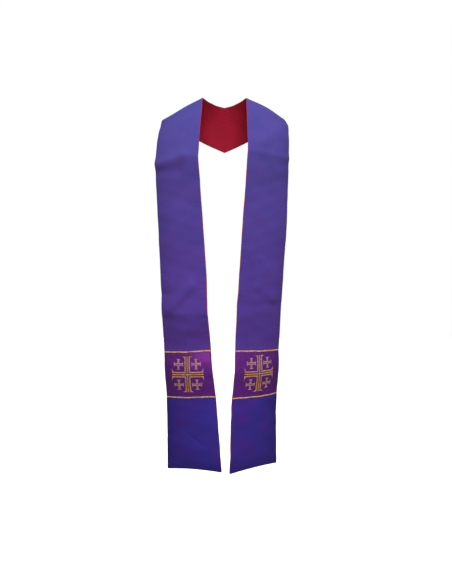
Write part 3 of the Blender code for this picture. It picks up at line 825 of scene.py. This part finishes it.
# Braids. A narrow plaited braid of gold yarn is sewn over each seam of the band. Its strands lie
# in a herringbone from the middle out to its two edges.
BRAID_WIDTH = 0.0042
BRAID_HEIGHT = 0.0011
PLAIT_PITCH = 0.0022
PLAIT_STEPS = 7
BRAID_LANES = 15
BRAID_ROUNDING = 2.6  # power of its section: 2 would be a half ellipse
PLAIT_SLANT = 0.9  # of a pitch, from the middle of the braid to its edges
PLAIT_DIP = 0.30  # share of the height that a strand falls by where it goes under
PLAIT_NOTCH = 0.05  # share of the half width by which the edges draw in there
BRAID_WANDER = 0.0003  # how far it strays from the seam, sewn by hand and eye
BRAID_WANDER_PITCHES = (0.093, 0.041)
BRAID_PHASE = 40.0  # radians in a metre of the seam's place, so that no two stray alike


def braid(half, piece, seam, material):
    """Braid along a seam, which it strays from in two sine waves. Over a rounded section its
    height follows the half sine of each strand, whose phase moves with the distance from the
    middle."""
    rows = round(CLOTH_WIDTH / PLAIT_PITCH * PLAIT_STEPS)
    across = np.linspace(0, 1, rows + 1)
    off_middle = np.linspace(-1, 1, BRAID_LANES)
    across_grid, off_grid = np.meshgrid(across, off_middle, indexing="ij")
    run = across_grid * CLOTH_WIDTH
    turns = run / PLAIT_PITCH + PLAIT_SLANT * np.abs(off_grid)
    strand = np.abs(np.sin(math.pi * turns))
    outline = 1 - PLAIT_NOTCH * (1 - strand) * np.abs(off_grid) ** 4
    stray = sum(np.sin(math.tau * run / pitch + BRAID_PHASE * seam)
                for pitch in BRAID_WANDER_PITCHES)
    along = seam + BRAID_WANDER * stray + off_grid * outline * BRAID_WIDTH / 2
    section = np.sqrt(1 - np.abs(off_grid) ** BRAID_ROUNDING)
    ends = rolled(np.minimum(run, CLOTH_WIDTH - run), STRAND_END)
    level = BRAID_HEIGHT * section * ends * (1 - PLAIT_DIP + PLAIT_DIP * np.sqrt(strand))
    chart = np.stack([run, seam + off_grid * BRAID_WIDTH / 2], axis=-1)
    node = f"{half.side}_{piece}"
    mesh = sewn_on(half, f"{node}_plait", [(along, across_grid, level, 1 - strand, chart)])
    return add_piece(mesh, material, node)


# Gold-coloured viscose yarn, plaited: light strands, each shaded where it dips under the next.
GOLD_YARN = stitched_thread("gold_braid_yarn", "#7A4A22", "#AE7830", "#F0BE70", roughness=0.5,
                            drift=0.014)

for half, band in zip(HALVES, bands):
    trims = [
        braid(half, "braid_top", half.knots[BAND_TOP], GOLD_YARN),
        braid(half, "braid_bottom", half.knots[BAND_BOTTOM], GOLD_YARN),
    ]


# Linings. Crimson lining cloth backs each half from the centre back to the hem. It is slipped
# to the turned edges by hand, rolls past the inner edge by a millimetre or two where the cloth
# has crept, and stays just inside the outer one.
LINING_WALL = 0.0010
LINING_ROLL = LINING_WALL / 2
LINING_SHY = 0.0010  # how far it stays inside the outer edge and the hem
LINING_CELL = 0.0035
LINING_SLACK = 0.0006
SLIP_STITCH_PITCH = 0.009
SLIP_STITCH_REACH = 0.006
SLIP_STITCH_PULL = 0.5  # share of the slack
# How far the lining shows past the inner edge, by length along the cloth, both in metres.
LINING_SHOWS = {
    "right": ((0.0, 0.0012), (0.35, 0.0008), (0.60, 0.0016), (0.80, 0.0024), (0.98, 0.0022),
              (1.10, 0.0012), (1.25, 0.0006), (1.40, 0.0008)),
    "left": ((0.0, 0.0012), (0.35, 0.0008), (0.55, 0.0018), (0.85, 0.0018), (0.95, 0.0006),
             (1.10, 0.0008), (1.17, 0.0030), (1.26, 0.0024), (1.33, 0.0012), (1.40, 0.0014)),
}


def lining(half, material):
    """The whole lining of a half. Its outer side lies level against the face cloth. Its body side
    sags a little between the slip stitches, most at the middle of the width."""
    start, end = -SEAM_LAP, half.knots[HEM] - LINING_SHY
    along = spaced(start, end, LINING_CELL, LINING_ROLL, HEM_CORNER)
    shows = np.interp(along, *np.array(LINING_SHOWS[half.side]).T)
    shares = spaced(0.0, CLOTH_WIDTH, LINING_CELL, LINING_ROLL) / CLOTH_WIDTH
    inset = rounded_corner(end - along, HEM_CORNER)[:, None]
    first = (inset - shows[:, None]) / CLOTH_WIDTH
    last = 1 - (inset + LINING_SHY) / CLOTH_WIDTH
    across_grid = first + (last - first) * shares[None, :]
    along_grid = np.broadcast_to(along[:, None], across_grid.shape)
    from_side = np.minimum(across_grid - first, last - across_grid) * CLOTH_WIDTH
    from_end = np.minimum(along_grid - start, end - along_grid)
    thickness = rolled(from_side, LINING_ROLL) * rolled(from_end, LINING_ROLL) * LINING_WALL / 2
    dimple = 0.5 + 0.5 * np.cos(math.tau * along_grid / SLIP_STITCH_PITCH)
    pull = SLIP_STITCH_PULL * np.exp(-from_side / SLIP_STITCH_REACH) * dimple
    slack = LINING_SLACK * (np.sqrt(np.sin(math.pi * shares[None, :])) - pull)
    slack = slack * (thickness > 0)
    middle = LINING_WALL / 2
    node = f"{half.side}_lining"
    mesh = layer_of_cloth(half, f"{node}_cloth", along_grid, across_grid, middle + thickness,
                          middle - thickness - slack)
    return add_piece(mesh, material, node)


# Polyester lining in plain weave: thin, even and slightly glossy. Its crimson is drawn darker,
# as painted shade for the inside of the stole.
CRIMSON_LINING = plain_woven("crimson_lining", "#8E1A2A", "#A82336", "#9C1E30", edge_shade_colour="#8E1A2A",
                             roughness=0.5, sheen=0.1, sheen_tint="#FFB0B0", thread=0.0005,
                             stretch=30)

for half in HALVES:
    backing = lining(half, CRIMSON_LINING)


# Studio. A plain pale floor, a large soft light high in front, a weaker one level with the
# shoulders, pinkish, so that the folds' shaded sides stay warm, and a white surround, which gives
# less light than it shows.
FLOOR_HEIGHT = -1.48
FLOOR_SIZE = 14.0
KEY_POWER = 166.0
FILL_POWER = 40.0
FLOOR_WASH = 3.0
SURROUND_LIGHT = 0.30

bpy.ops.mesh.primitive_plane_add(size=FLOOR_SIZE, location=(0.0, 0.0, FLOOR_HEIGHT))
floor = bpy.context.object
floor.name = "floor"
floor.visible_diffuse = False  # the washed floor doesn't light the cloth from below
floor.visible_glossy = False
pale = bare_material("pale_floor")
paper = add_node(pale, "BsdfPrincipled", {"Base Color": linear("#F8F8F8"), "Roughness": 0.9})
add_node(pale, "OutputMaterial", {"Surface": paper})
floor.data.materials.append(pale)


def softbox(name, place, aim, size, power, tint):
    """Square area light at a place, facing a point."""
    light = bpy.data.lights.new(name, "AREA")
    light.shape = "SQUARE"
    light.size = size
    light.energy = power
    light.color = linear(tint)[:3]
    lamp = set_out(name, light)
    lamp.visible_camera = False
    lamp.location = place
    x, y, z = np.array(place) - np.array(aim)
    lamp.rotation_euler = (math.atan2(math.hypot(x, y), z), 0.0, math.atan2(x, -y))


softbox("overhead_softbox", (0.25, -2.2, 2.6), (0.0, -0.15, -0.40), 1.5, KEY_POWER, "#E0FCF8")
softbox("front_fill", (0.1, -3.6, 0.0), (0.0, -0.15, -0.80), 1.8, FILL_POWER, "#FFAEDE")

# The floor has a light of its own from straight above, so that it stays as pale as the surround.
wash = bpy.data.lights.new("floor_wash", "SUN")
wash.energy = FLOOR_WASH
wash.use_shadow = False
wash_lamp = set_out("floor_wash", wash)
washed = bpy.data.collections.new("washed")
washed.objects.link(floor)
wash_lamp.light_linking.receiver_collection = washed

world = bpy.data.worlds.new("white_surround")
world.use_nodes = True
world.node_tree.nodes.clear()
seen = add_node(world, "LightPath", {}, output="Is Camera Ray")
strength = add_node(world, "MapRange", {"Value": seen, "To Min": SURROUND_LIGHT, "To Max": 1.0})
surround = add_node(world, "Background", {"Color": linear("#FFFFFF"), "Strength": strength})
add_node(world, "OutputWorld", {"Surface": surround})
bpy.context.scene.world = world
bpy.context.scene.view_settings.view_transform = "Standard"

# The camera stands 4.2 m in front of the shoulders, a little below them, and looks slightly down.
CAMERA_PLACE = (0.00495, -4.255, -0.330)
CAMERA_PITCH = -3.773  # degrees
PICTURE_HEIGHT = 584
FOCAL_PIXELS = 1272.7

# The picture is taller than it is wide, so the sensor's width covers its height.
view = bpy.data.cameras.new("camera")
view.sensor_width = 36.0
view.lens = FOCAL_PIXELS / PICTURE_HEIGHT * view.sensor_width
camera = set_out("camera", view)
camera.location = CAMERA_PLACE
camera.rotation_euler = (math.radians(90 + CAMERA_PITCH), 0.0, 0.0)
bpy.context.scene.camera = camera
